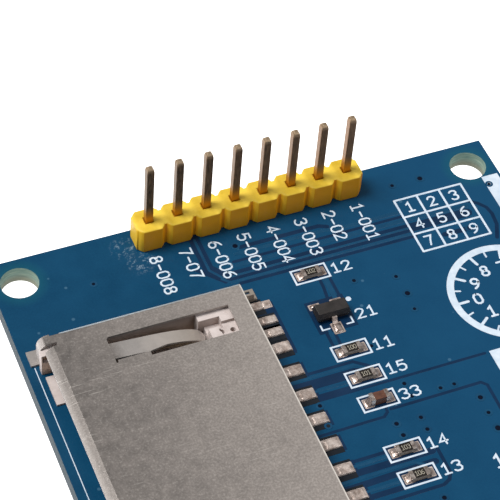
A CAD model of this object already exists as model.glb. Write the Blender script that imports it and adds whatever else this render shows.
"""Looks of the TFT display module: finishes for the CAD nodes, and the copper, solder mask,
solder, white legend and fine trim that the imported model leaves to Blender."""
import math
import random

import bmesh
import bpy
from mathutils import Matrix, Vector


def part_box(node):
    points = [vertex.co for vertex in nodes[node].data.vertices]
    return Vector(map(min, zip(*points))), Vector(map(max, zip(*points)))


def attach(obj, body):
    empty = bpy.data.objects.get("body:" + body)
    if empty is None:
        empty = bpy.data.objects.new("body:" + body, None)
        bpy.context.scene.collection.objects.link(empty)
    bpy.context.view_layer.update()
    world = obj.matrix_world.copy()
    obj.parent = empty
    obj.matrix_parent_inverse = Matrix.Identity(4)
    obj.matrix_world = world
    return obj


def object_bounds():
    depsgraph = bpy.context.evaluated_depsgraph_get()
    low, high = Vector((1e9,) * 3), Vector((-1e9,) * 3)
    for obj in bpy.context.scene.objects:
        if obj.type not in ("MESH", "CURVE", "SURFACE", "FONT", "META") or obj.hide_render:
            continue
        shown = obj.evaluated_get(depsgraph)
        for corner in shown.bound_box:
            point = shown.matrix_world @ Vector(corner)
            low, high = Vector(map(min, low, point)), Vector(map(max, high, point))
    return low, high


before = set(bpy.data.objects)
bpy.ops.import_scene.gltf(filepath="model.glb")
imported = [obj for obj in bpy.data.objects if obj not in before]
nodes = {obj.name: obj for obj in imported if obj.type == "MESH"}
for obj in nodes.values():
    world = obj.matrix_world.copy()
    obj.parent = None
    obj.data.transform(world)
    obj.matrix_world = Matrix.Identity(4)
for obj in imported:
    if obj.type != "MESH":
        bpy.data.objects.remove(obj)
cad_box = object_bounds()
MM = 0.001
DIG = 0.01                       # how far a thin layer reaches into what it lies on


def box_mm(name):
    lo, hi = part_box(name)
    return lo / MM, hi / MM


def middle_mm(name):
    lo, hi = box_mm(name)
    return (lo + hi) / 2


board_lo, board_hi = box_mm("pcb")
TOP, BACK, EDGE = board_hi.z, board_lo.z, board_hi.y     # the board's two faces and header edge
HOLE_X, HOLE_Y = board_hi.x - 2.3, EDGE - 2.5            # the corner holes, from its middle
PITCH = 2.54                                             # between header pins
CHIP_X = middle_mm("resistor_1").x                       # the column of small parts


# ---------------------------------------------------------------- finishes

def srgb(r, g, b):
    def linear(c):
        c /= 255
        return c / 12.92 if c <= 0.04045 else ((c + 0.055) / 1.055) ** 2.4
    return linear(r), linear(g), linear(b), 1.0


class Finish:
    """A procedural material. Its textures are laid out in the object's own millimetres."""

    def __init__(self, name, roughness=0.5, metallic=0.0, **sockets):
        self.material = bpy.data.materials.new(name)
        self.material.use_nodes = True
        self.tree = self.material.node_tree
        self.shader = self.tree.nodes["Principled BSDF"]
        self.set("Roughness", roughness)
        self.set("Metallic", metallic)
        for socket, value in sockets.items():
            self.set(socket.replace("_", " "), value)
        place = self.add("ShaderNodeTexCoord").outputs["Object"]
        scaled = self.add("ShaderNodeVectorMath", operation="SCALE")
        self.tree.links.new(place, scaled.inputs[0])
        scaled.inputs["Scale"].default_value = 1 / MM
        self.mm = scaled.outputs[0]

    def add(self, kind, **props):
        node = self.tree.nodes.new(kind)
        for key, value in props.items():
            setattr(node, key, value)
        return node

    def put(self, socket, value):
        if isinstance(value, bpy.types.NodeSocket):
            self.tree.links.new(value, socket)
        else:
            socket.default_value = value

    def set(self, socket, value):
        self.put(self.shader.inputs[socket], value)

    def math(self, operation, a, b=0.0):
        node = self.add("ShaderNodeMath", operation=operation)
        self.put(node.inputs[0], a)
        self.put(node.inputs[1], b)
        return node.outputs[0]

    def times(self, first, *others):
        for other in others:
            first = self.math("MULTIPLY", first, other)
        return first

    def span(self, value, lo, hi, out_lo=0.0, out_hi=1.0):
        """Goes from `out_lo` to `out_hi` as the value goes from `lo` to `hi`, either way round."""
        node = self.add("ShaderNodeMapRange")
        for socket, v in zip(node.inputs, (value, lo, hi, out_lo, out_hi)):
            self.put(socket, v)
        return node.outputs[0]

    def between(self, value, rise, fall):
        """1 between two soft limits and 0 outside; each is a pair: where it is 0, where it is 1."""
        return self.times(self.span(value, *rise), self.span(value, *fall))

    def mix(self, factor, a, b):
        node = self.add("ShaderNodeMix", data_type="RGBA")
        self.put(node.inputs[0], factor)
        self.put(node.inputs[6], a)
        self.put(node.inputs[7], b)
        return node.outputs[2]

    def drift(self, noise, dark, light):
        """A colour that wanders with a noise between two, given in sRGB."""
        return self.mix(self.span(noise, 0.3, 0.7), srgb(*dark), srgb(*light))

    def place(self, stretch, turn):
        node = self.add("ShaderNodeMapping")
        self.put(node.inputs["Vector"], self.mm)
        node.inputs["Rotation"].default_value = (0, 0, math.radians(turn))
        node.inputs["Scale"].default_value = stretch
        return node.outputs[0]

    def noise(self, scale, detail, rough=0.55, stretch=None, turn=0.0):
        """Noise with about `scale` lumps to the millimetre."""
        node = self.add("ShaderNodeTexNoise")
        self.put(node.inputs["Vector"], self.place(stretch, turn) if stretch else self.mm)
        node.inputs["Scale"].default_value = scale
        node.inputs["Detail"].default_value = detail
        node.inputs["Roughness"].default_value = rough
        return node.outputs[0]

    def cells(self, scale):
        node = self.add("ShaderNodeTexVoronoi")
        self.put(node.inputs["Vector"], self.mm)
        node.inputs["Scale"].default_value = scale
        return node.outputs["Distance"]

    def part(self, axis):
        """One coordinate of the place, in millimetres."""
        node = self.add("ShaderNodeSeparateXYZ")
        self.put(node.inputs[0], self.mm)
        return node.outputs[axis]

    def distance(self, point):
        node = self.add("ShaderNodeVectorMath", operation="DISTANCE")
        self.put(node.inputs[0], self.mm)
        node.inputs[1].default_value = point
        return node.outputs["Value"]

    def nearest(self, one, other):
        return self.math("MINIMUM", self.distance(one), self.distance(other))

    def facing(self, axis):
        """How far the surface faces along one axis, from -1 to 1."""
        normal = self.add("ShaderNodeNewGeometry").outputs["Normal"]
        node = self.add("ShaderNodeSeparateXYZ")
        self.put(node.inputs[0], normal)
        return node.outputs[axis]

    def bump(self, height, distance_mm, strength):
        node = self.add("ShaderNodeBump")
        self.put(node.inputs["Height"], height)
        node.inputs["Distance"].default_value = distance_mm * MM
        node.inputs["Strength"].default_value = strength
        self.set("Normal", node.outputs[0])


def scratches(finish, turns):
    """A few fine scratches: the peaks of stretched noises, broken up by a patchy one."""
    patches = finish.span(finish.noise(0.25, 3), 0.5, 0.62)
    total = 0.0
    for turn in turns:
        line = finish.noise(0.6, 1, 0.5, stretch=(0.5, 14, 1), turn=turn)
        total = finish.math("MAXIMUM", total, finish.span(line, 0.7, 0.75))
    return finish.times(total, patches)


def mask_finish():
    """Blue solder mask on the board's faces, and bare glass fibre on its edges and in its holes."""
    f = Finish("solder_mask", IOR=1.45, Specular_IOR_Level=0.22)
    broad, grain = f.noise(0.35, 3), f.noise(6, 2)
    top = f.drift(broad, (3, 55, 86), (11, 64, 96))
    top = f.mix(f.span(grain, 0.35, 0.75, 0, 0.35), top, srgb(16, 74, 104))
    top = f.mix(f.span(f.part(0), -8, 18, 0, 0.6), top, srgb(20, 72, 108))
    # the mask pales round the two holes at the header edge
    from_hole = f.nearest((HOLE_X, HOLE_Y, TOP), (-HOLE_X, HOLE_Y, TOP))
    top = f.mix(f.span(from_hole, 1.6, 2.6, 0.35, 0), top, srgb(24, 92, 100))
    # dried flux at the header's end
    from_flux = f.nearest((-11.0, EDGE - 1.8, TOP), (-10.3, EDGE - 3.6, TOP))
    specks = f.times(f.span(f.noise(3.2, 4, 0.7), 0.53, 0.62), f.span(from_flux, 0.3, 1.5, 1, 0), 0.42)
    top = f.mix(specks, top, srgb(160, 182, 198))
    dust = f.times(f.span(f.cells(0.42), 0.07, 0.05), 0.3)
    top = f.mix(dust, top, srgb(96, 136, 160))
    # flux has stained the board under the card socket
    lo, hi = box_mm("sd_shell")
    under = f.times(f.between(f.part(0), (lo.x + 4.0, lo.x + 4.5), (hi.x - 4.0, hi.x - 4.5)),
                    f.between(f.part(1), (hi.y - 9, hi.y - 8), (hi.y - 0.3, hi.y - 0.5)), 0.9)
    stain = f.mix(f.span(grain, 0.35, 0.65), srgb(62, 48, 34), srgb(104, 86, 64))
    top = f.mix(under, top, stain)
    # glass fibre: grey on the sawn edges, paler in the drilled corner holes and brown low in them
    layers = f.noise(1.4, 3, 0.6, stretch=(0.6, 0.6, 9))
    sawn = f.drift(layers, (58, 68, 76), (92, 101, 106))
    drilled = f.drift(layers, (108, 138, 132), (160, 178, 162))
    drilled = f.mix(f.span(f.part(2), TOP - 0.7, TOP - 1.3, 0, 0.6), drilled, srgb(136, 122, 102))
    x = f.math("SUBTRACT", f.math("ABSOLUTE", f.part(0)), HOLE_X)
    y = f.math("SUBTRACT", f.math("ABSOLUTE", f.part(1)), HOLE_Y)
    squared = f.math("ADD", f.times(x, x), f.times(y, y))       # distance from a hole's axis, squared
    fibre = f.mix(f.span(squared, 3.1, 2.9), sawn, drilled)
    side = f.span(f.math("ABSOLUTE", f.facing(2)), 0.75, 0.6)
    f.set("Base Color", f.mix(side, top, fibre))
    f.set("Roughness", f.span(side, 0, 1, 0.3, 0.75))
    f.bump(f.math("ADD", f.noise(2.2, 3), f.times(grain, 0.4)), 0.02, 0.35)
    return f


def speckled(name, dark, light, scale, roughness, bump_mm=0.0, bump_scale=8.0, grain=0.0,
             grain_colour=(255, 255, 255), **sockets):
    """A finish that drifts between two colours, with finer flecks and a bump if they are given."""
    f = Finish(name, roughness, **sockets)
    colour = f.drift(f.noise(scale, 4), dark, light)
    if grain:
        fleck = f.span(f.noise(bump_scale * 1.7, 3, 0.65), 0.56, 0.66, 0, grain)
        colour = f.mix(fleck, colour, srgb(*grain_colour))
    f.set("Base Color", colour)
    spread = f.noise(scale * 0.7, 3)
    f.set("Roughness", f.span(spread, 0.3, 0.7, max(roughness - 0.07, 0.03), roughness + 0.07))
    if bump_mm:
        f.bump(f.noise(bump_scale, 4, 0.6), bump_mm, 0.6)
    return f


def sheet_metal():
    """Rolled and tumbled steel: mottled, finely pitted, with faint scratches."""
    f = Finish("sheet_metal", 0.5, 0.6, Specular_IOR_Level=0.35)
    lo, hi = box_mm("sd_shell")
    broad, patch, fine = f.noise(0.13, 4, 0.6), f.noise(1.1, 4, 0.65), f.noise(5.5, 4, 0.75)
    colour = f.drift(broad, (97, 93, 91), (110, 105, 102))
    # paler towards the tails
    across = f.math("ADD", f.part(0), f.times(broad, 6.0))
    colour = f.mix(f.span(across, lo.x + 4, hi.x + 3, 0, 0.85), colour, srgb(188, 179, 173))
    colour = f.mix(f.span(patch, 0.35, 0.7, 0, 0.3), colour, srgb(166, 158, 153))
    colour = f.mix(f.span(fine, 0.4, 0.6, 0.34, 0), colour, srgb(88, 83, 79))
    colour = f.mix(f.span(fine, 0.56, 0.68, 0, 0.22), colour, srgb(200, 194, 188))
    # the spring finger in the window is rubbed brighter, and yellower towards its tip
    finger_x, finger_y, finger_l = lo.x + 5.8, hi.y - 2.9, 8.6
    x, y = f.math("SUBTRACT", f.part(0), finger_x), f.math("SUBTRACT", finger_y, f.part(1))
    finger = f.times(f.between(x, (0, 0.9), (finger_l, finger_l - 0.2)),
                     f.between(y, (-0.05, 0.05), (2.3, 2.0)), 0.7)
    rubbed = f.mix(f.span(x, 2.0, 7.0), srgb(170, 165, 162), srgb(200, 184, 166))
    colour = f.mix(finger, colour, rubbed)
    colour = f.mix(f.times(scratches(f, (28, 64, -37)), 0.34), colour, srgb(214, 208, 202))
    # what is bent down below the roof kept its bright surface, and so did the cut edges
    bent = f.span(f.part(2), hi.z - 0.1, hi.z - 0.35, 0, 0.4)
    colour = f.mix(bent, colour, srgb(204, 198, 194))
    ends = f.span(f.math("ABSOLUTE", f.facing(0)), 0.4, 0.6, 0, 0.7)
    colour = f.mix(ends, colour, srgb(196, 189, 186))
    colour = f.mix(f.span(f.facing(1), 0.2, 0.35, 0, 0.8), colour, srgb(190, 202, 210))
    # the roof's rim above the tails is worn bright, and the rear feet past it are tarnished
    rim_x, feet_x = hi.x - 1.7, hi.x - 1.5
    rim = f.between(f.part(0), (rim_x - 0.13, rim_x - 0.05), (rim_x + 0.08, rim_x + 0.04))
    colour = f.mix(f.times(rim, 0.75), colour, srgb(244, 238, 230))
    colour = f.mix(f.span(f.part(0), feet_x - 0.1, feet_x + 0.1, 0, 0.5), colour, srgb(118, 106, 84))
    f.set("Base Color", colour)
    f.set("Roughness", f.span(patch, 0.3, 0.7, 0.42, 0.56))
    f.bump(f.math("ADD", fine, f.times(patch, 0.6)), 0.02, 0.45)
    return f


def base_plastic():
    """The socket's pinkish cream base, browner on the faces that look away from the header."""
    f = Finish("cream_plastic", 0.5)
    lo, hi = box_mm("sd_base")
    colour = f.drift(f.noise(1.2, 4), (186, 174, 170), (208, 197, 194))
    away = f.span(f.facing(1), -0.5, -0.8)
    colour = f.mix(f.times(away, 0.55), colour, srgb(122, 98, 82))
    # the rail inside the shell is darkest at its top and towards its rear end
    rail = f.times(away, f.span(f.part(1), hi.y - 1.6, hi.y - 1.4), 0.9)
    rear = f.times(f.span(f.part(0), hi.x - 9, hi.x - 4.4), f.span(f.part(2), TOP, TOP + 2), 0.55)
    brown = f.mix(f.span(f.part(2), hi.z - 1.7, hi.z - 0.4), srgb(220, 180, 148), srgb(62, 44, 34))
    brown = f.mix(rear, brown, srgb(52, 34, 24))
    colour = f.mix(rail, colour, brown)
    f.set("Base Color", colour)
    f.set("Roughness", f.span(f.noise(0.8, 3), 0.3, 0.7, 0.43, 0.57))
    f.bump(f.noise(6, 4, 0.6), 0.02, 0.6)
    return f


def pin_metal():
    """Plated pins: streaked along their length, golden above the housing, duller at their tips."""
    f = Finish("pin_metal", 0.34, 0.7)
    tip_z = box_mm("header_pin_1")[1].z
    streak = f.noise(1.7, 4, 0.65, stretch=(4, 4, 0.8))
    colour = f.mix(f.span(streak, 0.35, 0.65), srgb(68, 52, 37), srgb(126, 100, 74))
    colour = f.mix(f.span(f.part(0), -8, 8, 0, 0.4), colour, srgb(176, 132, 98))
    low = f.span(f.part(2), TOP + 2.8, TOP + 4.4, 1, 0)
    colour = f.mix(low, colour, srgb(184, 124, 18))
    tip = f.span(f.part(2), tip_z - 0.5, tip_z)
    colour = f.mix(tip, colour, srgb(160, 138, 112))
    f.set("Base Color", colour)
    f.set("Roughness", f.span(streak, 0.3, 0.7, 0.3, 0.5))
    f.bump(f.noise(3, 3, 0.6, stretch=(6, 6, 1)), 0.015, 0.5)
    return f


def housing_plastic():
    """Yellow nylon, deeper and more orange on its upright faces."""
    f = Finish("yellow_plastic", 0.42, Specular_IOR_Level=0.3)
    lumps, fleck = f.noise(0.8, 4), f.noise(8.5, 3, 0.65)
    top = f.drift(lumps, (208, 172, 44), (228, 194, 66))
    top = f.mix(f.span(fleck, 0.56, 0.66, 0, 0.14), top, srgb(236, 212, 104))
    # how far past the last pin in +X, and how far from the nearest; the shift keeps the sum positive
    shift = 8 * PITCH - middle_mm("header_pin_1").x
    past_pin = f.math("MODULO", f.math("ADD", f.part(0), shift), PITCH)
    from_pin = f.math("PINGPONG", past_pin, PITCH / 2)
    # each lobe is brightest beside its pin
    bright = f.times(f.between(past_pin, (0.3, 0.6), (1.7, 1.2)), 0.6)
    top = f.mix(bright, top, srgb(255, 220, 84))
    side = f.drift(lumps, (232, 162, 4), (244, 178, 14))
    # the notches between the lobes are orange, though not the housing's two ends
    notch = f.times(f.span(from_pin, 0.8, 1.15, 0, 0.55),
                    f.span(f.math("ABSOLUTE", f.facing(0)), 0.97, 0.9))
    side = f.mix(notch, side, srgb(236, 136, 0))
    # shoulders that face -X or +Y are paler, the fronts darker and browner towards the board
    side = f.mix(f.span(f.facing(0), -0.3, -0.6, 0, 0.8), side, srgb(248, 206, 52))
    side = f.mix(f.span(f.facing(1), 0.5, 0.8, 0, 0.8), side, srgb(226, 186, 46))
    front = f.span(f.facing(1), -0.6, -0.9)
    side = f.mix(f.times(front, 0.6), side, srgb(188, 124, 0))
    low = f.span(f.part(2), TOP + 1.5, TOP + 0.2, 0, 0.55)
    side = f.mix(f.times(front, low), side, srgb(142, 106, 24))
    f.set("Base Color", f.mix(f.span(f.facing(2), 0.25, 0.6), side, top))
    f.set("Roughness", f.span(f.noise(0.6, 3), 0.3, 0.7, 0.36, 0.5))
    f.bump(f.noise(5, 4, 0.6), 0.03, 0.6)
    return f


def tinned(name, dark, light, metallic, roughness, scale):
    """Lumpy bright metal, such as solder or a tinned pad."""
    f = Finish(name, roughness, metallic)
    lumps = f.noise(scale, 4, 0.6)
    f.set("Base Color", f.drift(lumps, dark, light))
    f.set("Roughness", f.span(f.noise(scale * 1.9, 3), 0.3, 0.7, roughness - 0.12, roughness + 0.14))
    f.bump(lumps, 0.05, 0.7)
    return f


def chip_glaze():
    """A resistor: black glaze on top, pale ceramic at the sides."""
    f = Finish("resistor_glaze", 0.38, Specular_IOR_Level=0.22)
    top = f.drift(f.noise(5, 3), (24, 21, 20), (42, 37, 35))
    ceramic = f.drift(f.noise(4, 3), (120, 108, 98), (160, 148, 136))
    f.set("Base Color", f.mix(f.span(f.facing(2), 0.3, 0.6), ceramic, top))
    f.bump(f.noise(9, 3), 0.006, 0.4)
    return f


def film_finish(name, tint, roughness, see_through):
    """Clear or cloudy plastic film, or glass."""
    f = Finish(name, roughness, IOR=1.5, Transmission_Weight=see_through)
    dark = [c * 0.9 for c in tint]
    f.set("Base Color", f.drift(f.noise(0.4, 3), dark, tint))
    f.set("Roughness", f.span(f.noise(0.8, 3), 0.3, 0.7, roughness, roughness + 0.05))
    f.bump(f.noise(0.6, 2), 0.004, 0.3)
    return f


def display_face():
    """The front polariser: a dark window with the switched-off picture area a little lighter."""
    f = Finish("display_face", 0.22, IOR=1.5)
    half_x, half_y = 14.0, 17.5                 # half the picture area
    middle_y = middle_mm("front_polarizer").y + 0.4
    x = f.math("ABSOLUTE", f.part(0))
    y = f.math("ABSOLUTE", f.math("SUBTRACT", f.part(1), middle_y))
    inside = f.times(f.span(x, half_x + 0.1, half_x), f.span(y, half_y + 0.1, half_y))
    field = f.drift(f.noise(0.3, 3), (34, 37, 40), (44, 47, 50))
    f.set("Base Color", f.mix(inside, srgb(9, 9, 11), field))
    f.set("Roughness", f.span(f.noise(0.7, 4), 0.3, 0.7, 0.18, 0.28))
    f.bump(f.noise(14, 2), 0.002, 0.3)
    return f


FINISH = {
    "mask": mask_finish(),
    "gap": speckled("mask_on_laminate", (0, 34, 64), (7, 42, 74), 0.5, 0.4, 0.01, 5,
                    Specular_IOR_Level=0.25),
    "bare": speckled("bare_laminate", (12, 18, 26), (26, 31, 38), 1.5, 0.6, 0.01, 8,
                     Specular_IOR_Level=0.2),
    "track": speckled("mask_on_track", (4, 58, 90), (16, 70, 102), 0.8, 0.34, 0.01, 4,
                      Specular_IOR_Level=0.3),
    "legend": speckled("white_legend", (188, 204, 220), (214, 225, 236), 1.5, 0.55, 0.01, 9,
                       0.25, (168, 180, 205)),
    "yellow": housing_plastic(),
    "pin": pin_metal(),
    "solder": tinned("solder", (120, 100, 90), (224, 208, 200), 0.85, 0.3, 2.0),
    "pad": tinned("tinned_pad", (136, 118, 108), (226, 212, 204), 0.55, 0.44, 1.8),
    "gold": tinned("gold_plate", (196, 152, 66), (224, 184, 96), 0.9, 0.3, 3.0),
    "shell": sheet_metal(),
    "cream": base_plastic(),
    "contact": tinned("contact_metal", (140, 122, 112), (222, 208, 200), 0.6, 0.42, 1.8),
    "epoxy": speckled("black_epoxy", (26, 23, 22), (42, 37, 36), 1.5, 0.5, 0.02, 14, 0.2,
                      (72, 66, 62)),
    "glaze": chip_glaze(),
    "code": speckled("resistor_code", (136, 130, 116), (164, 158, 144), 4, 0.55, 0.004, 12),
    "chip_end": tinned("chip_end", (128, 110, 100), (240, 228, 220), 0.88, 0.24, 3.0),
    "ceramic": speckled("brown_ceramic", (74, 42, 30), (104, 66, 48), 2.2, 0.45, 0.01, 10, 0.2,
                        (134, 98, 76)),
    "tape": speckled("foam_tape", (206, 200, 188), (226, 222, 212), 2.5, 0.85, 0.05, 9, 0.2,
                     (180, 172, 158)),
    "white": speckled("white_plastic", (230, 229, 224), (242, 241, 238), 0.6, 0.45, 0.01, 5, 0.08,
                      (210, 208, 200)),
    "mirror_film": speckled("mirror_film", (214, 216, 218), (232, 234, 236), 0.3, 0.16, 0.01, 1.5,
                            Metallic=0.6),
    "guide": film_finish("clear_guide", (226, 238, 242), 0.05, 0.85),
    "diffuse_film": film_finish("diffuser_film", (240, 240, 238), 0.6, 0.3),
    "prism_film": film_finish("prism_film", (224, 228, 232), 0.3, 0.5),
    "lamp": speckled("lamp_resin", (236, 224, 130), (246, 238, 170), 2.0, 0.35, 0.01, 6),
    "amber": speckled("amber_flex", (176, 98, 22), (204, 126, 38), 0.6, 0.3, 0.01, 4, 0.15,
                      (222, 158, 70)),
    "black_tape": speckled("black_tape", (18, 18, 19), (28, 28, 30), 1.0, 0.55, 0.01, 7),
    "polarizer": film_finish("polarizer_film", (44, 47, 52), 0.2, 0.2),
    "glass": film_finish("display_glass", (150, 172, 168), 0.04, 0.7),
    "face": display_face(),
    "silicon": speckled("driver_silicon", (48, 50, 56), (66, 68, 76), 1.0, 0.14, 0.004, 6,
                        Metallic=0.5),
    "hole": speckled("hole_shadow", (2, 8, 24), (8, 16, 36), 4, 0.8, Specular_IOR_Level=0.1),
}

NODE_FINISH = {
    "pcb": "mask", "header_housing": "yellow", "header_solder": "solder", "sd_shell": "shell",
    "sd_base": "cream", "transistor_body": "epoxy", "transistor_leads": "contact",
    "resistor_ends": "chip_end", "capacitor_ends": "chip_end", "display_tape": "tape",
    "backlight_frame": "white", "reflector": "mirror_film", "light_guide": "guide",
    "diffuser": "diffuse_film", "prism_film": "prism_film", "backlight_lamps": "lamp",
    "lamp_strip": "amber", "rim_tape": "black_tape", "rear_polarizer": "polarizer",
    "rear_glass": "glass", "front_glass": "glass", "front_polarizer": "face",
    "driver_chip": "silicon", "display_flex": "amber", "flex_solder": "solder",
}
FAMILY_FINISH = {"header_pin": "pin", "sd_contact": "contact", "sd_switch": "contact",
                 "resistor": "glaze", "capacitor": "ceramic"}
# edge radius in millimetres, and how many segments round it
EDGES = {"header_housing": (0.17, 3), "header_pin": (0.05, 2), "sd_shell": (0.09, 2),
         "sd_base": (0.05, 2), "sd_contact": (0.04, 2), "sd_switch": (0.04, 2),
         "transistor_body": (0.05, 2), "transistor_leads": (0.03, 2), "resistor": (0.015, 1),
         "resistor_ends": (0.02, 2), "capacitor": (0.05, 2), "capacitor_ends": (0.05, 2),
         "backlight_frame": (0.08, 2), "front_polarizer": (0.03, 1), "front_glass": (0.03, 1),
         "rear_glass": (0.03, 1), "driver_chip": (0.02, 1), "display_tape": (0.05, 1)}

for name, obj in nodes.items():
    family = name.rstrip("0123456789").rstrip("_")
    finish = FINISH[NODE_FINISH.get(name) or FAMILY_FINISH[family]]
    obj.data.materials.clear()
    obj.data.materials.append(finish.material)
    edge = EDGES.get(name) or EDGES.get(family)
    if edge:
        weld = obj.modifiers.new("weld", "WELD")
        weld.merge_threshold = 0.002 * MM
        bevel = obj.modifiers.new("bevel", "BEVEL")
        bevel.width = edge[0] * MM
        bevel.segments = edge[1]
        bevel.limit_method = "ANGLE"
        bevel.angle_limit = math.radians(28)
    if name == "header_housing":
        even = obj.modifiers.new("even", "WEIGHTED_NORMAL")
        even.keep_sharp = False


# ---------------------------------------------------------------- shapes, in millimetres

class Shape:
    """Gathers lofted solids and makes one object of them."""

    def __init__(self):
        self.points, self.faces = [], []

    def loft(self, rings, capped=True):
        """Joins loops of equally many points, each to the next, and closes the two ends."""
        start, n = len(self.points), len(rings[0])
        for ring in rings:
            self.points += [tuple(p) for p in ring]
        for k in range(len(rings) - 1):
            a, b = start + k * n, start + (k + 1) * n
            self.faces += [(a + i, a + (i + 1) % n, b + (i + 1) % n, b + i) for i in range(n)]
        if capped:
            last = start + (len(rings) - 1) * n
            self.faces.append(tuple(range(start + n - 1, start - 1, -1)))
            self.faces.append(tuple(range(last, last + n)))

    def slab(self, outline, z0, z1, crown=0.0, inner=None):
        """A flat piece on an outline; with `inner`, a slightly smaller outline, its rim slopes."""
        up = 1 if z1 > z0 else -1
        if inner is None:
            rings = [(outline, z0), (outline, z1)]
        else:
            rings = [(outline, z0), (outline, z1 - up * crown), (inner, z1)]
        self.loft([[(x, y, z) for x, y in line] for line, z in rings])

    def stroke(self, path, width, z0, z1, closed=False):
        """A drawn line: round ends, mitred corners and a sloped rim."""
        crown = min(abs(z1 - z0) * 0.6, width * 0.2)
        inner = width - min(crown * 2, width * 0.5)
        if closed:
            rings = [[(x, y, z) for x, y in offset_loop(path, d)] for d, z in (
                (-width / 2, z0), (-width / 2, z1), (width / 2, z1), (width / 2, z0))]
            self.loft(rings + rings[:1], capped=False)
        else:
            self.slab(stroke_outline(path, width), z0, z1, crown, stroke_outline(path, inner))

    def disc(self, x, y, r, z0, z1, n=20):
        self.slab(circle(x, y, r, n), z0, z1, abs(z1 - z0) * 0.6, circle(x, y, r * 0.86, n))

    def ring(self, x, y, r_in, r_out, z0, z1, n=28):
        loops = [(r_in, z0), (r_in, z1), (r_out, z1), (r_out, z0)]
        rings = [[(px, py, z) for px, py in circle(x, y, r, n)] for r, z in loops]
        self.loft(rings + rings[:1], capped=False)

    def make(self, name, finish, slot, smooth=None):
        """Makes the object; edges blunter than `smooth` degrees are shaded smooth."""
        mesh = bpy.data.meshes.new(name)
        mesh.from_pydata([[c * MM for c in p] for p in self.points], [], self.faces)
        mesh.validate()
        obj = bpy.data.objects.new(name, mesh)
        bpy.context.scene.collection.objects.link(obj)
        obj.data.materials.append(FINISH[finish].material)
        recalc_normals(mesh)
        if smooth is not None:
            mesh.shade_smooth()
            mesh.set_sharp_from_angle(angle=math.radians(smooth))
        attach(obj, "root")


def recalc_normals(mesh):
    bm = bmesh.new()
    bm.from_mesh(mesh)
    bmesh.ops.remove_doubles(bm, verts=bm.verts, dist=1e-8)
    bmesh.ops.recalc_face_normals(bm, faces=bm.faces)
    bm.to_mesh(mesh)
    bm.free()


def circle(x, y, r, n):
    angles = [2 * math.pi * i / n for i in range(n)]
    return [(x + r * math.cos(a), y + r * math.sin(a)) for a in angles]


def rectangle(x0, x1, y0, y1):
    return [(x0, y0), (x1, y0), (x1, y1), (x0, y1)]


def rounded(x0, x1, y0, y1, r, n=4):
    """A rectangle with round corners of radius r, each of n segments."""
    centres = [(x1 - r, y1 - r), (x0 + r, y1 - r), (x0 + r, y0 + r), (x1 - r, y0 + r)]
    points = []
    for (cx, cy), a in zip(centres, (0, 90, 180, 270)):
        for i in range(n + 1):
            t = math.radians(a + 90 * i / n)
            points.append((cx + r * math.cos(t), cy + r * math.sin(t)))
    return points


def corner_normal(a, b, c):
    """The mitre at b: the direction and length that keep a line's width round the corner."""
    def left(p, q):
        d = Vector((q[0] - p[0], q[1] - p[1])).normalized()
        return Vector((-d.y, d.x))
    if a is None:
        return left(b, c)
    if c is None:
        return left(a, b)
    n = (left(a, b) + left(b, c)).normalized()
    return n / max(n.dot(left(a, b)), 0.45)


def offset_loop(path, d):
    n = len(path)
    return [tuple(Vector(path[i]) + corner_normal(path[i - 1], path[i], path[(i + 1) % n]) * d)
            for i in range(n)]


def stroke_outline(path, width):
    """The outline of a line drawn along a path, with round ends."""
    h, n, cap = width / 2, len(path), 4
    side = []
    for i in range(n):
        m = corner_normal(path[i - 1] if i else None, path[i], path[i + 1] if i < n - 1 else None)
        side.append(m * h)
    left = [Vector(path[i]) + side[i] for i in range(n)]
    right = [Vector(path[i]) - side[i] for i in range(n)]

    def end(centre, start):
        c = Vector(centre)
        a0 = math.atan2(start.y, start.x)
        return [c + Vector((math.cos(a0 - math.pi * k / cap), math.sin(a0 - math.pi * k / cap))) * h
                for k in range(1, cap)]
    return [tuple(p) for p in left + end(path[-1], side[-1]) + right[::-1] + end(path[0], -side[0])]


def at(x, y):
    """A place on the board: x from its centre line, y from its header edge."""
    return x, EDGE - y


# strokes of the ten digits and the dash, in a box 0.62 wide and 1 high
DIGITS = {
    "0": [[(.31, 1), (.12, .94), (0, .76), (0, .24), (.12, .06), (.31, 0), (.5, .06), (.62, .24),
           (.62, .76), (.5, .94), (.31, 1)]],
    "1": [[(.1, .8), (.34, 1), (.34, .03)], [(.08, 0), (.6, 0)]],
    "2": [[(0, .78), (.08, .93), (.26, 1), (.42, .98), (.58, .86), (.6, .7), (.5, .52), (0, 0),
           (.62, 0)]],
    "3": [[(0, .86), (.14, .98), (.34, 1), (.53, .93), (.59, .77), (.52, .61), (.32, .53)],
          [(.34, .52), (.55, .44), (.62, .27), (.54, .08), (.34, 0), (.14, .02), (0, .14)]],
    "4": [[(.46, 0), (.46, 1), (0, .32), (.64, .32)]],
    "5": [[(.58, 1), (.08, 1), (.03, .56), (.18, .63), (.38, .63), (.55, .54), (.62, .36),
           (.56, .12), (.38, .0), (.16, 0), (0, .12)]],
    "6": [[(.52, 1), (.26, .86), (.08, .62), (0, .32), (.06, .1), (.24, 0), (.42, .01), (.58, .12),
           (.62, .3), (.54, .48), (.36, .56), (.16, .53), (.03, .4)]],
    "7": [[(0, 1), (.62, 1), (.42, .58), (.24, 0)]],
    "8": [[(.31, .53), (.1, .6), (.04, .77), (.12, .93), (.31, 1), (.5, .93), (.58, .77), (.52, .6),
           (.33, .53)],
          [(.31, .53), (.07, .44), (0, .26), (.08, .07), (.31, 0), (.54, .07), (.62, .26), (.55, .44),
           (.31, .53)]],
    "9": [[(.1, 0), (.36, .14), (.54, .38), (.62, .68), (.56, .9), (.38, 1), (.2, .99), (.04, .88),
           (0, .7), (.08, .52), (.26, .44), (.46, .47), (.59, .6)]],
    "-": [[(.06, .5), (.58, .5)]],
}


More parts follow.
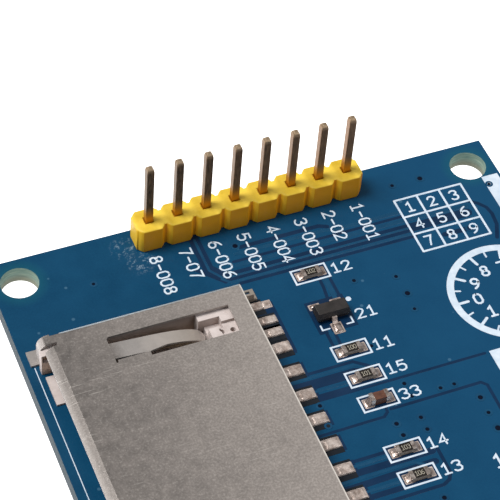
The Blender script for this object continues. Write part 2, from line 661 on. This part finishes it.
def number(shape, text, origin, height, advance, line, layer, slim=1.0, along=(1, 0), up=(0, 1)):
    """Draws digits from `origin`; `along` and `up` are the unit directions of the writing.

    `advance` is the step from one digit to the next, `line` the width of the strokes, `layer`
    their lower and upper height. Later strokes of a digit lie a little higher.
    """
    z0, z1 = layer
    for i, digit in enumerate(text):
        for k, path in enumerate(DIGITS[digit]):
            points = []
            for u, v in path:
                s, t = i * advance + u * height * slim, v * height
                points.append((origin[0] + along[0] * s + up[0] * t,
                               origin[1] + along[1] * s + up[1] * t))
            shape.stroke(points, line, z0, z1 + (z1 - z0) * 0.06 * (k + 1))


# ---------------------------------------------------------------- copper under the solder mask

GAP_Z, TRACK_Z, LEGEND_Z = TOP + 0.006, TOP + 0.016, TOP + 0.024     # tops of the thin layers
PRINT = (TOP - DIG, LEGEND_Z)    # lower and upper height of the white legend
LIFT = 0.0002                    # each line ends this much higher than the one before

# gaps in the copper area and tracks, as paths on the board and their widths
gap_lines = [
    # the lines that leave the header for the right of the board
    ([(-1.9, 4.75), (5.2, 4.7), (5.9, 5.0)], 0.42), ([(-3.0, 6.08), (12.4, 6.02)], 0.3),
    ([(-4.1, 7.45), (17.9, 7.4)], 0.95), ([(-3.3, 8.42), (12.6, 8.4)], 0.32),
    ([(-5.25, 2.6), (-5.25, 6.1), (-4.4, 7.2)], 0.95),
    ([(-6.3, 5.9), (-5.7, 6.5), (-4.4, 7.9)], 0.34),
    ([(18.5, 6.2), (19.25, 6.75), (19.75, 7.4), (19.9, 8.2), (19.75, 9.4), (19.1, 10.8)], 0.34),
    ([(15.0, 9.05), (17.4, 9.1)], 0.5),
    # between the socket's tails and the chips
    ([(-3.4, 18.92), (2.15, 18.92), (3.2, 19.7)], 0.3), ([(-3.4, 20.0), (2.0, 20.0)], 0.95),
    ([(-3.4, 21.3), (1.4, 21.3)], 0.5), ([(-3.4, 21.62), (12.6, 21.66)], 0.26),
    ([(-3.4, 24.78), (2.3, 24.74), (2.72, 24.4), (2.8, 23.9)], 0.26),
    ([(3.1, 24.22), (11.0, 24.2), (11.38, 24.6), (11.36, 27.3), (10.9, 29.0)], 0.28),
    ([(-3.4, 27.85), (1.0, 27.85)], 0.32), ([(-3.4, 28.92), (4.5, 28.92)], 0.62),
    ([(-3.4, 30.1), (4.3, 29.9)], 0.6), ([(-3.4, 31.3), (1.2, 31.3)], 0.5),
    ([(-3.4, 32.1), (4.0, 32.1), (4.6, 31.8), (4.95, 31.2), (4.95, 28.9)], 0.3),
    # to and from the transistor
    ([(3.02, 10.2), (3.0, 11.0), (2.82, 12.4)], 0.28), ([(3.88, 10.2), (3.88, 12.6)], 0.28),
    ([(1.32, 15.6), (1.32, 17.1)], 0.28), ([(1.98, 15.9), (1.94, 17.1)], 0.26),
]
track_lines = [
    ([(-2.6, 5.35), (5.6, 5.3), (6.5, 5.5), (12.2, 5.5)], 0.34),
    ([(-2.9, 6.55), (12.2, 6.5), (18.2, 6.7)], 0.36),
    ([(-4.6, 7.5), (-4.0, 8.08), (12.6, 8.06)], 0.24),
    ([(-5.25, 2.8), (-5.25, 6.3), (-4.4, 7.5), (12.4, 7.42)], 0.24),
    ([(-3.4, 19.3), (2.2, 19.3), (3.1, 20.1)], 0.26), ([(-2.2, 20.72), (1.5, 20.7)], 0.26),
    ([(-2.2, 28.3), (1.6, 28.25)], 0.28), ([(-3.4, 29.45), (2.6, 29.42), (3.4, 29.9)], 0.26),
    ([(-2.2, 30.75), (1.6, 30.72)], 0.26), ([(3.45, 10.2), (3.45, 12.6)], 0.42),
    ([(1.65, 15.4), (1.65, 17.2)], 0.3),
]
gaps, tracks = Shape(), Shape()
for shape, lines, top in ((gaps, gap_lines, GAP_Z), (tracks, track_lines, TRACK_Z)):
    for k, (path, width) in enumerate(lines):
        shape.stroke([at(*p) for p in path], width, TOP - DIG, top + LIFT * k)

# openings in the copper under each chip
resistors = [f"resistor_{n}" for n in range(1, 6)]
capacitors = [f"capacitor_{n}" for n in range(1, 4)]
chip_ys = [middle_mm(name).y for name in resistors + capacitors]
chip_x0, chip_x1, chip_y = CHIP_X - 1.45, CHIP_X + 1.45, 0.68
for k, y in enumerate(chip_ys):
    gaps.slab(rectangle(chip_x0, chip_x1, y - chip_y, y + chip_y), TOP - DIG, GAP_Z + 0.006 + LIFT * k)

# openings behind the shell's header-side corner, at seven tails and under the transistor
tails = []                       # the middle, width and rear end of each contact and switch strip
for name in [f"sd_contact_{n}" for n in range(1, 10)] + ["sd_switch_1", "sd_switch_2"]:
    lo, hi = box_mm(name)
    tails.append(((lo.y + hi.y) / 2, hi.y - lo.y, hi.x))
shell_end = box_mm("sd_shell")[1].x
under = 2.5                      # how far what surrounds a tail runs back under the shell
gaps.slab(rectangle(shell_end - 3, -1.62, EDGE - 16.45, EDGE - 11.0), TOP - DIG, GAP_Z + 0.005)
for k, (y, w, x) in enumerate(tails[:7]):
    gaps.slab(rectangle(x - under, x + 0.32, y - w / 2 - 0.34, y + w / 2 + 0.2), TOP - DIG,
              GAP_Z + 0.0061 + LIFT * k)
gaps.slab(rectangle(0.75, 4.15, EDGE - 15.6, EDGE - 12.15), TOP - DIG, GAP_Z + 0.0055)
gaps.make("copper_gaps", "gap", "board", smooth=30)
tracks.make("copper_tracks", "track", "board", smooth=30)

# bare laminate on both sides of each tail
bare = Shape()
for y, w, x in tails:
    outline = rectangle(x - under, x + 0.1, y - w / 2 - 0.5, y + w / 2 + 0.34)
    bare.slab(outline, TOP - DIG, GAP_Z + 0.0085)
bare.make("bare_laminate", "bare", "board")

# vias: a low ring under the mask and the hole in it; each is x, y and the radius of its hole
vias = [(13.09, 2.5, .17), (15.73, 2.5, .24), (21.17, 5.05, .17), (5.66, 11.21, .17), (9.15, 11.95, .17),
        (9.3, 13.9, .24), (9.15, 15.6, .15), (-14.71, 4.57, .15), (17.35, 9.1, .24), (-2.25, 4.5, .24),
        (4.22, 17.95, .18), (-2.05, 22.1, .18), (-2.2, 24.1, .16), (5.15, 22.3, .18), (5.2, 23.6, .2),
        (7.7, 23.65, .17), (8.9, 23.65, .16), (10.3, 25.55, .22), (10.25, 27.1, .17), (10.3, 28.7, .26),
        (2.93, 25.68, .2), (5.0, 25.75, .18), (2.98, 26.85, .2), (5.0, 26.95, .18), (3.5, 33.2, .2),
        (14.2, 36.4, .2), (9.0, 40.2, .17), (17.6, 44.0, .2), (6.4, 48.6, .18), (-8.2, 43.5, .2),
        (-15.0, 45.8, .18), (-2.6, 47.2, .2), (12.8, 52.4, .18), (-18.2, 52.0, .18)]
FIELD_X = 20.88                  # left side of the white field at the board's edge, over one via
via_rings, via_holes = Shape(), Shape()
for x, y, r in vias:
    base = LEGEND_Z if x > FIELD_X else TOP
    via_rings.ring(*at(x, y), r, r + 0.17, TOP - DIG, base + 0.02, 20)
    via_holes.disc(*at(x, y), r, TOP - DIG, base + 0.004, 16)
via_rings.make("via_rings", "track", "board", smooth=40)
via_holes.make("via_holes", "hole", "board")

# ---------------------------------------------------------------- white legend

legend = Shape()
LINE = 0.16                      # width of the fine lines

# a frame round each chip, a plain number for each part and one for each pin
for y in chip_ys:
    outline = rectangle(CHIP_X - 1.5, CHIP_X + 1.5, y - 0.73, y + 0.73)
    legend.stroke(outline, LINE, *PRINT, closed=True)
pin_labels = ["1-001", "2-02", "3-003", "4-004", "5-005", "6-006", "7-07", "8-008"]
label_x, label_y, label_pitch = 8.68, 3.48, 2.596
for n, text in enumerate(pin_labels):
    corner = at(label_x - label_pitch * n, label_y)
    number(legend, text, corner, 1.02, 0.86, LINE, PRINT, 0.98, along=(0, -1), up=(1, 0))
part_labels = {"12": 9.9, "21": 15.02, "11": 18.42, "15": 21.02, "33": 23.68, "14": 28.7,
               "13": 31.3, "31": 36.9, "32": 39.5}
for text, y in part_labels.items():
    number(legend, text, at(4.42, y), 0.94, 0.98, LINE, PRINT, 1.12)

# the transistor's corners and its dot, and the line along the socket's mouth
legend.stroke([at(1.14, 14.75), at(1.14, 15.22), at(1.75, 15.22)], LINE, *PRINT)
legend.stroke([at(3.86, 14.6), at(3.86, 15.22), at(3.3, 15.22)], LINE, *PRINT)
legend.disc(*at(4.44, 12.84), 0.24, *PRINT)
legend.stroke([at(-21.87, 11.25), at(-21.87, 37.4)], 0.08, *PRINT)

# a ruled table for check marks, with plain numbers in its cells, and a white field beside it
table_x, table_y, cell_x, cell_y = 12.5, 4.2, 2.1, 2.0
right, bottom = table_x + 3 * cell_x, table_y + 3 * cell_y
for i in range(4):
    x = table_x + cell_x * i
    legend.stroke([at(x, table_y), at(x, bottom)], 0.2, *PRINT)
for i in range(4):
    y = table_y + cell_y * i
    legend.stroke([at(table_x, y), at(right, y)], 0.2, TOP - DIG, LEGEND_Z + 0.002)
for i in range(9):
    corner = at(table_x + cell_x * (i % 3) + 0.7, table_y + cell_y * (i // 3) + 1.52)
    number(legend, str(i + 1), corner, 1.0, 1, 0.17, PRINT)
legend.slab(rectangle(FIELD_X, 22.4, EDGE - 10.2, EDGE - 4.1), *PRINT)

# a plain dial, numbered from 0
dial_x, dial_y = at(17.25, 16.35)
dial_r = 4.7


def on_dial(r, turn):
    """A place on the dial, at a radius and a share of a full turn from +X."""
    angle = 2 * math.pi * turn
    return dial_x + r * math.cos(angle), dial_y + r * math.sin(angle)


legend.stroke(circle(dial_x, dial_y, dial_r, 72), 0.62, *PRINT, closed=True)
for i in range(20):
    depth, width = ((1.15, 0.26), (0.8, 0.17))[i % 2]
    mark = [on_dial(dial_r - depth, i / 20), on_dial(dial_r - 0.25, i / 20)]
    legend.stroke(mark, width, TOP - DIG, LEGEND_Z - 0.002)
for i in range(10):
    x, y = on_dial(2.65, i / 10 + 0.5)
    number(legend, str(i), (x - 0.31, y - 0.5), 1.0, 1, 0.2, PRINT)
legend.disc(dial_x, dial_y, 0.5, *PRINT, 24)

# a blank write-on field, and a row of plain numbers below it
legend.slab(rectangle(13.0, 20.6, EDGE - 24.3, EDGE - 21.6), *PRINT)
number(legend, "1234567890", at(8.6, 32.1), 1.15, 1.2, 0.2, PRINT)
legend.make("legend", "legend", "board", smooth=30)

# ---------------------------------------------------------------- pads and solder

PAD_Z = TOP + 0.03               # top of a tinned pad
rng = random.Random(8)


def mound(shape, x0, x1, y0, y1, z0, height, top, r, rough=0.0):
    """A lump of solder on a pad: steep at its rim, flat on top, where it is `top` times as wide.

    `rough` is how uneven it is, as a share of its height.
    """
    steps = 5
    cx, cy = (x0 + x1) / 2, (y0 + y1) / 2
    base = rounded(x0, x1, y0, y1, min(r, (x1 - x0) / 2.2, (y1 - y0) / 2.2), 5)
    loops = [[(x, y, z0 - DIG) for x, y in base]]
    for k in range(steps + 1):
        t = k / steps
        s = 1 - (1 - top) * t
        z = z0 + height * math.sin(t * math.pi / 2)
        loops.append([(cx + (x - cx) * s, cy + (y - cy) * s,
                       z + (rng.uniform(-rough, rough) * height if k else 0)) for x, y in base])
    shape.loft(loops)


def fillet(shape, x, y, z0, way, length, width, height):
    """Solder climbing a part's end face at x, running out along `way` (+1 or -1 in X)."""
    steps, points = 6, 8
    angles = [math.pi * j / points for j in range(points + 1)]
    loops = []
    for k in range(steps + 1):
        t = k / steps
        h = max(height * (1 - t) ** 1.7, 0.02) + DIG
        w = width * (0.86 + 0.14 * math.sin(math.pi * min(t * 1.3, 1))) / 2
        loops.append([(x + way * length * t, y - w * math.cos(a) * abs(math.cos(a)) ** 0.2,
                       z0 - DIG + h * math.sin(a) ** 0.5) for a in angles])
    shape.loft(loops)


# under each chip a pad at either end, with solder up the chip's end
pads, solder, tail_solder = Shape(), Shape(), Shape()
for k, y in enumerate(chip_ys):
    height = 0.3 if k < len(resistors) else 0.5
    for way in (-1, 1):
        x0, x1 = sorted((CHIP_X + way * 0.5, CHIP_X + way * 1.3))
        pads.slab(rounded(x0, x1, y - 0.46, y + 0.46, 0.06), TOP - DIG, PAD_Z)
        fillet(solder, CHIP_X + way * 0.79, y, PAD_Z, way, length=0.46, width=0.84, height=height)

# a pad under each tail, solder on the tail and a thin line of it at either side
first_tail_end = tails[0][2]
for y, w, x in tails:
    y0, y1 = y - w / 2, y + w / 2
    short = x < first_tail_end - 0.4
    pad_end = x + (0.8 if short else 0.1)
    pads.slab(rounded(x - 1.5, pad_end, y0, y1 + 0.06, 0.05), TOP - DIG, PAD_Z)
    if short:
        mound(tail_solder, x - 0.05, pad_end - 0.05, y0 + 0.08, y1 - 0.05, PAD_Z,
              height=0.1, top=0.6, r=0.1, rough=0.2)
    mound(tail_solder, x - 1.3, x + 0.02, y0 + 0.02, y1 - 0.02, TOP + 0.15,
          height=0.1, top=0.62, r=0.16, rough=0.12)
    for side0, side1 in ((y0 - 0.01, y0 + 0.03), (y1 - 0.03, y1 + 0.06)):
        mound(tail_solder, x - 1.35, x - 0.1, side0, side1, PAD_Z, height=0.12, top=0.4, r=0.03)

# the transistor's three pads
lead_lo, lead_hi = box_mm("transistor_leads")
for x, y0, y1, w in ((lead_lo.x + 0.21, lead_hi.y - 0.35, lead_hi.y + 0.25, 1.0),
                     (lead_hi.x - 0.21, lead_hi.y - 0.35, lead_hi.y + 0.25, 1.0),
                     ((lead_lo.x + lead_hi.x) / 2, lead_lo.y - 0.85, lead_lo.y + 0.3, 0.95)):
    pads.slab(rounded(x - w / 2, x + w / 2, y0, y1, 0.08), TOP - DIG, PAD_Z)
    mound(solder, x - w * 0.4, x + w * 0.4, y0 + 0.08, y1 - 0.06, PAD_Z,
          height=0.16, top=0.4, r=0.2, rough=0.05)
pads.make("pads", "pad", "solder", smooth=35)
solder.make("solder_joints", "solder", "solder", smooth=60)
tail_solder.make("tail_solder", "pad", "solder", smooth=60)

# plated rings: of the header's holes at the back, of the signal row on both faces and in its holes
plated = Shape()
for n in range(1, 9):
    pin = middle_mm(f"header_pin_{n}")
    plated.ring(pin.x, pin.y, 0.88, 0.98, BACK + DIG, BACK - 0.03)
signal_x, signal_y, signal_r = board_hi.x - 1.48, -12.0, 0.51
for i in range(4):
    y = signal_y + (i - 1.5) * PITCH
    plated.ring(signal_x, y, signal_r, signal_r + 0.35, TOP - DIG, TOP + 0.035)
    plated.ring(signal_x, y, signal_r, signal_r + 0.35, BACK + DIG, BACK - 0.035)
    plated.ring(signal_x, y, signal_r - 0.035, signal_r + 0.01, BACK - 0.03, TOP + 0.03)
plated.make("plated_rings", "gold", "solder", smooth=30)

# three-figure codes on the chip resistors
codes = Shape()
for name, text in zip(resistors, ("100", "102", "106", "103", "101")):
    top_z = box_mm(name)[1].z
    corner = (CHIP_X - 0.36, middle_mm(name).y - 0.2)
    number(codes, text, corner, 0.4, 0.26, 0.055, (top_z - 0.004, top_z + 0.006), 0.8)
codes.make("resistor_codes", "code", "resistor")

# ---------------------------------------------------------------- camera, floor and light

AZIMUTH, ELEVATION, ROLL = math.radians(-25.67), math.radians(48.94), math.radians(5.06)
DISTANCE = 0.170486                                      # from the camera, in metres
turned = (Matrix.Rotation(AZIMUTH, 4, "Z") @ Matrix.Rotation(math.pi / 2 - ELEVATION, 4, "X")
          @ Matrix.Rotation(ROLL, 4, "Z"))
aim = Vector((-1.23, EDGE - 5.309, TOP)) * MM            # the place on the board it looks at
camera_data = bpy.data.cameras.new("camera")
camera_data.lens, camera_data.sensor_width = 147.46, 36
camera_data.clip_start, camera_data.clip_end = 0.005, 20
camera = bpy.data.objects.new("camera", camera_data)
camera.matrix_world = Matrix.Translation(aim + turned.to_3x3() @ Vector((0, 0, DISTANCE))) @ turned
bpy.context.scene.collection.objects.link(camera)
bpy.context.scene.camera = camera

floor_finish = Finish("floor", 0.9, Emission_Color=(1, 1, 1, 1), Emission_Strength=0.72)
floor_shade = floor_finish.noise(0.02, 2)
floor_finish.set("Base Color", floor_finish.mix(floor_shade, (0.86, 0.86, 0.86, 1), (0.9, 0.9, 0.9, 1)))
floor_mesh = bpy.data.meshes.new("floor")
floor_mesh.from_pydata([(x, y, 0) for x, y in rectangle(-3, 3, -3, 3)], [], [(0, 1, 2, 3)])
floor_mesh.materials.append(floor_finish.material)
floor = bpy.data.objects.new("floor", floor_mesh)
floor.location.z = cad_box[0].z - 0.0002
bpy.context.scene.collection.objects.link(floor)


def area_light(name, place, watts, colour):
    """A round lamp 0.3 m wide that points at the origin."""
    data = bpy.data.lights.new(name, "AREA")
    data.shape, data.size, data.energy, data.color = "DISK", 0.3, watts, colour
    light = bpy.data.objects.new(name, data)
    light.location = place
    light.rotation_euler = (-Vector(place)).to_track_quat("-Z", "Y").to_euler()
    bpy.context.scene.collection.objects.link(light)


area_light("key", (-0.26, 0.13, 0.56), 4.2, (1, 0.985, 0.96))
area_light("fill", (0.30, -0.40, 0.30), 0.7, (0.92, 0.96, 1))
world = bpy.data.worlds.new("world")
world.use_nodes = True
sky = world.node_tree.nodes["Background"]
sky.inputs["Color"].default_value = (1, 1, 1, 1)
sky.inputs["Strength"].default_value = 0.30
bpy.context.scene.world = world
bpy.context.scene.view_settings.view_transform = "Standard"

bpy.context.view_layer.update()
